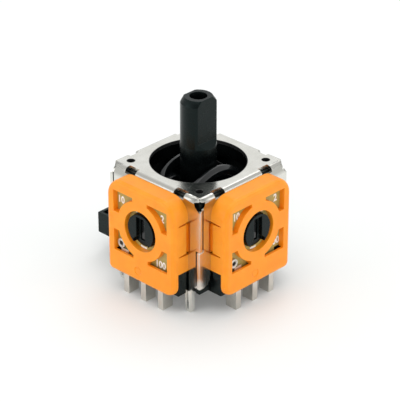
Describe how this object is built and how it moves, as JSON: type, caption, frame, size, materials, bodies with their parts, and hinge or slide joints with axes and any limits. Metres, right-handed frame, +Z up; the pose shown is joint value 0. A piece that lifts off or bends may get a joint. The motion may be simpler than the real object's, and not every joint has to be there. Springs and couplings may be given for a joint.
{
  "type": "analog stick module",
  "caption": "Two-axis thumb stick in a folded steel frame on a moulded base, with two rotary potentiometers and a push switch.",
  "frame": {"origin": "stick axis at the base's underside, the face that sits on the circuit board", "axes": "+Z up along the stick, +X towards one potentiometer, -Y towards the other, and -X towards the switch"},
  "size_m": [0.0198, 0.0152, 0.0208],
  "materials": {
    "tinned_steel": "bright tin plate, slightly smeared",
    "black_moulding": "glossy moulded",
    "orange_moulding": "satin moulded",
    "phenolic": "phenolic paper board",
    "contact_brass": "bright sprung sheet",
    "tinned_terminal": "dull tin plate"
  },
  "bodies": {
    "housing": {"top_frame": "tinned_steel", "liner": "black_moulding", "base": "black_moulding", "return_spring": "tinned_terminal", "pot_case_x": "orange_moulding", "pot_case_y": "orange_moulding", "pot_board_x": "phenolic", "pot_board_y": "phenolic", "terminal_x1": "tinned_terminal", "terminal_x2": "tinned_terminal", "terminal_x3": "tinned_terminal", "terminal_y1": "tinned_terminal", "terminal_y2": "tinned_terminal", "terminal_y3": "tinned_terminal", "eyelets_x": "tinned_terminal", "eyelets_y": "tinned_terminal", "switch_body": "black_moulding", "switch_cover": "black_moulding", "switch_dome": "contact_brass", "switch_terminal_1": "tinned_terminal", "switch_terminal_2": "tinned_terminal", "switch_terminal_3": "tinned_terminal", "switch_terminal_4": "tinned_terminal"},
    "rotor_x": {"pot_rotor_x": "black_moulding", "pot_wiper_x": "contact_brass"},
    "rocker": {"lower_rocker": "black_moulding", "pivot_pin": "tinned_terminal"},
    "stick": {"stick": "black_moulding"},
    "arch": {"upper_rocker": "black_moulding", "pot_rotor_y": "black_moulding", "pot_wiper_y": "contact_brass"},
    "button": {"switch_button": "black_moulding"},
    "plate": {"centring_plate": "black_moulding"}
  },
  "joints": [
    {"name": "tilt_x", "type": "hinge", "parent": "housing", "child": "rotor_x", "pos_m": [0, 0, 0.0061], "axis": [1, 0, 0], "range_deg": [-20, 20], "stiffness_Nm_per_rad": 0.02},
    {"name": "press", "type": "hinge", "parent": "rotor_x", "child": "rocker", "pos_m": [0.00692, 0, 0.0061], "axis": [0, -1, 0], "range_deg": [0, 1.19], "stiffness_Nm_per_rad": 1, "springref_deg": -0.29},
    {"name": "tilt_y", "type": "hinge", "parent": "rocker", "child": "stick", "pos_m": [0, 0, 0.0061], "axis": [0, 1, 0], "range_deg": [-20, 20], "stiffness_Nm_per_rad": 0.02},
    {"name": "arch_turn", "type": "hinge", "parent": "housing", "child": "arch", "pos_m": [0, 0, 0.0061], "axis": [0, 1, 0], "range_deg": [-20, 20]},
    {"name": "button_travel", "type": "slide", "parent": "housing", "child": "button", "axis": [0, 0, -1], "range_m": [0, 0.00033], "deforming": ["switch_dome"]},
    {"name": "plate_sink", "type": "slide", "parent": "housing", "child": "plate", "axis": [0, 0, -1], "range_m": [0, 0.00015], "deforming": ["return_spring"]}
  ],
  "couplings": [
    {"joint": "arch_turn", "follows": "tilt_y", "ratio": 1},
    {"joint": "button_travel", "follows": "press", "m_per_rad": 0.015825},
    {"joint": "plate_sink", "follows": "press", "m_per_rad": 0.006925}
  ]
}
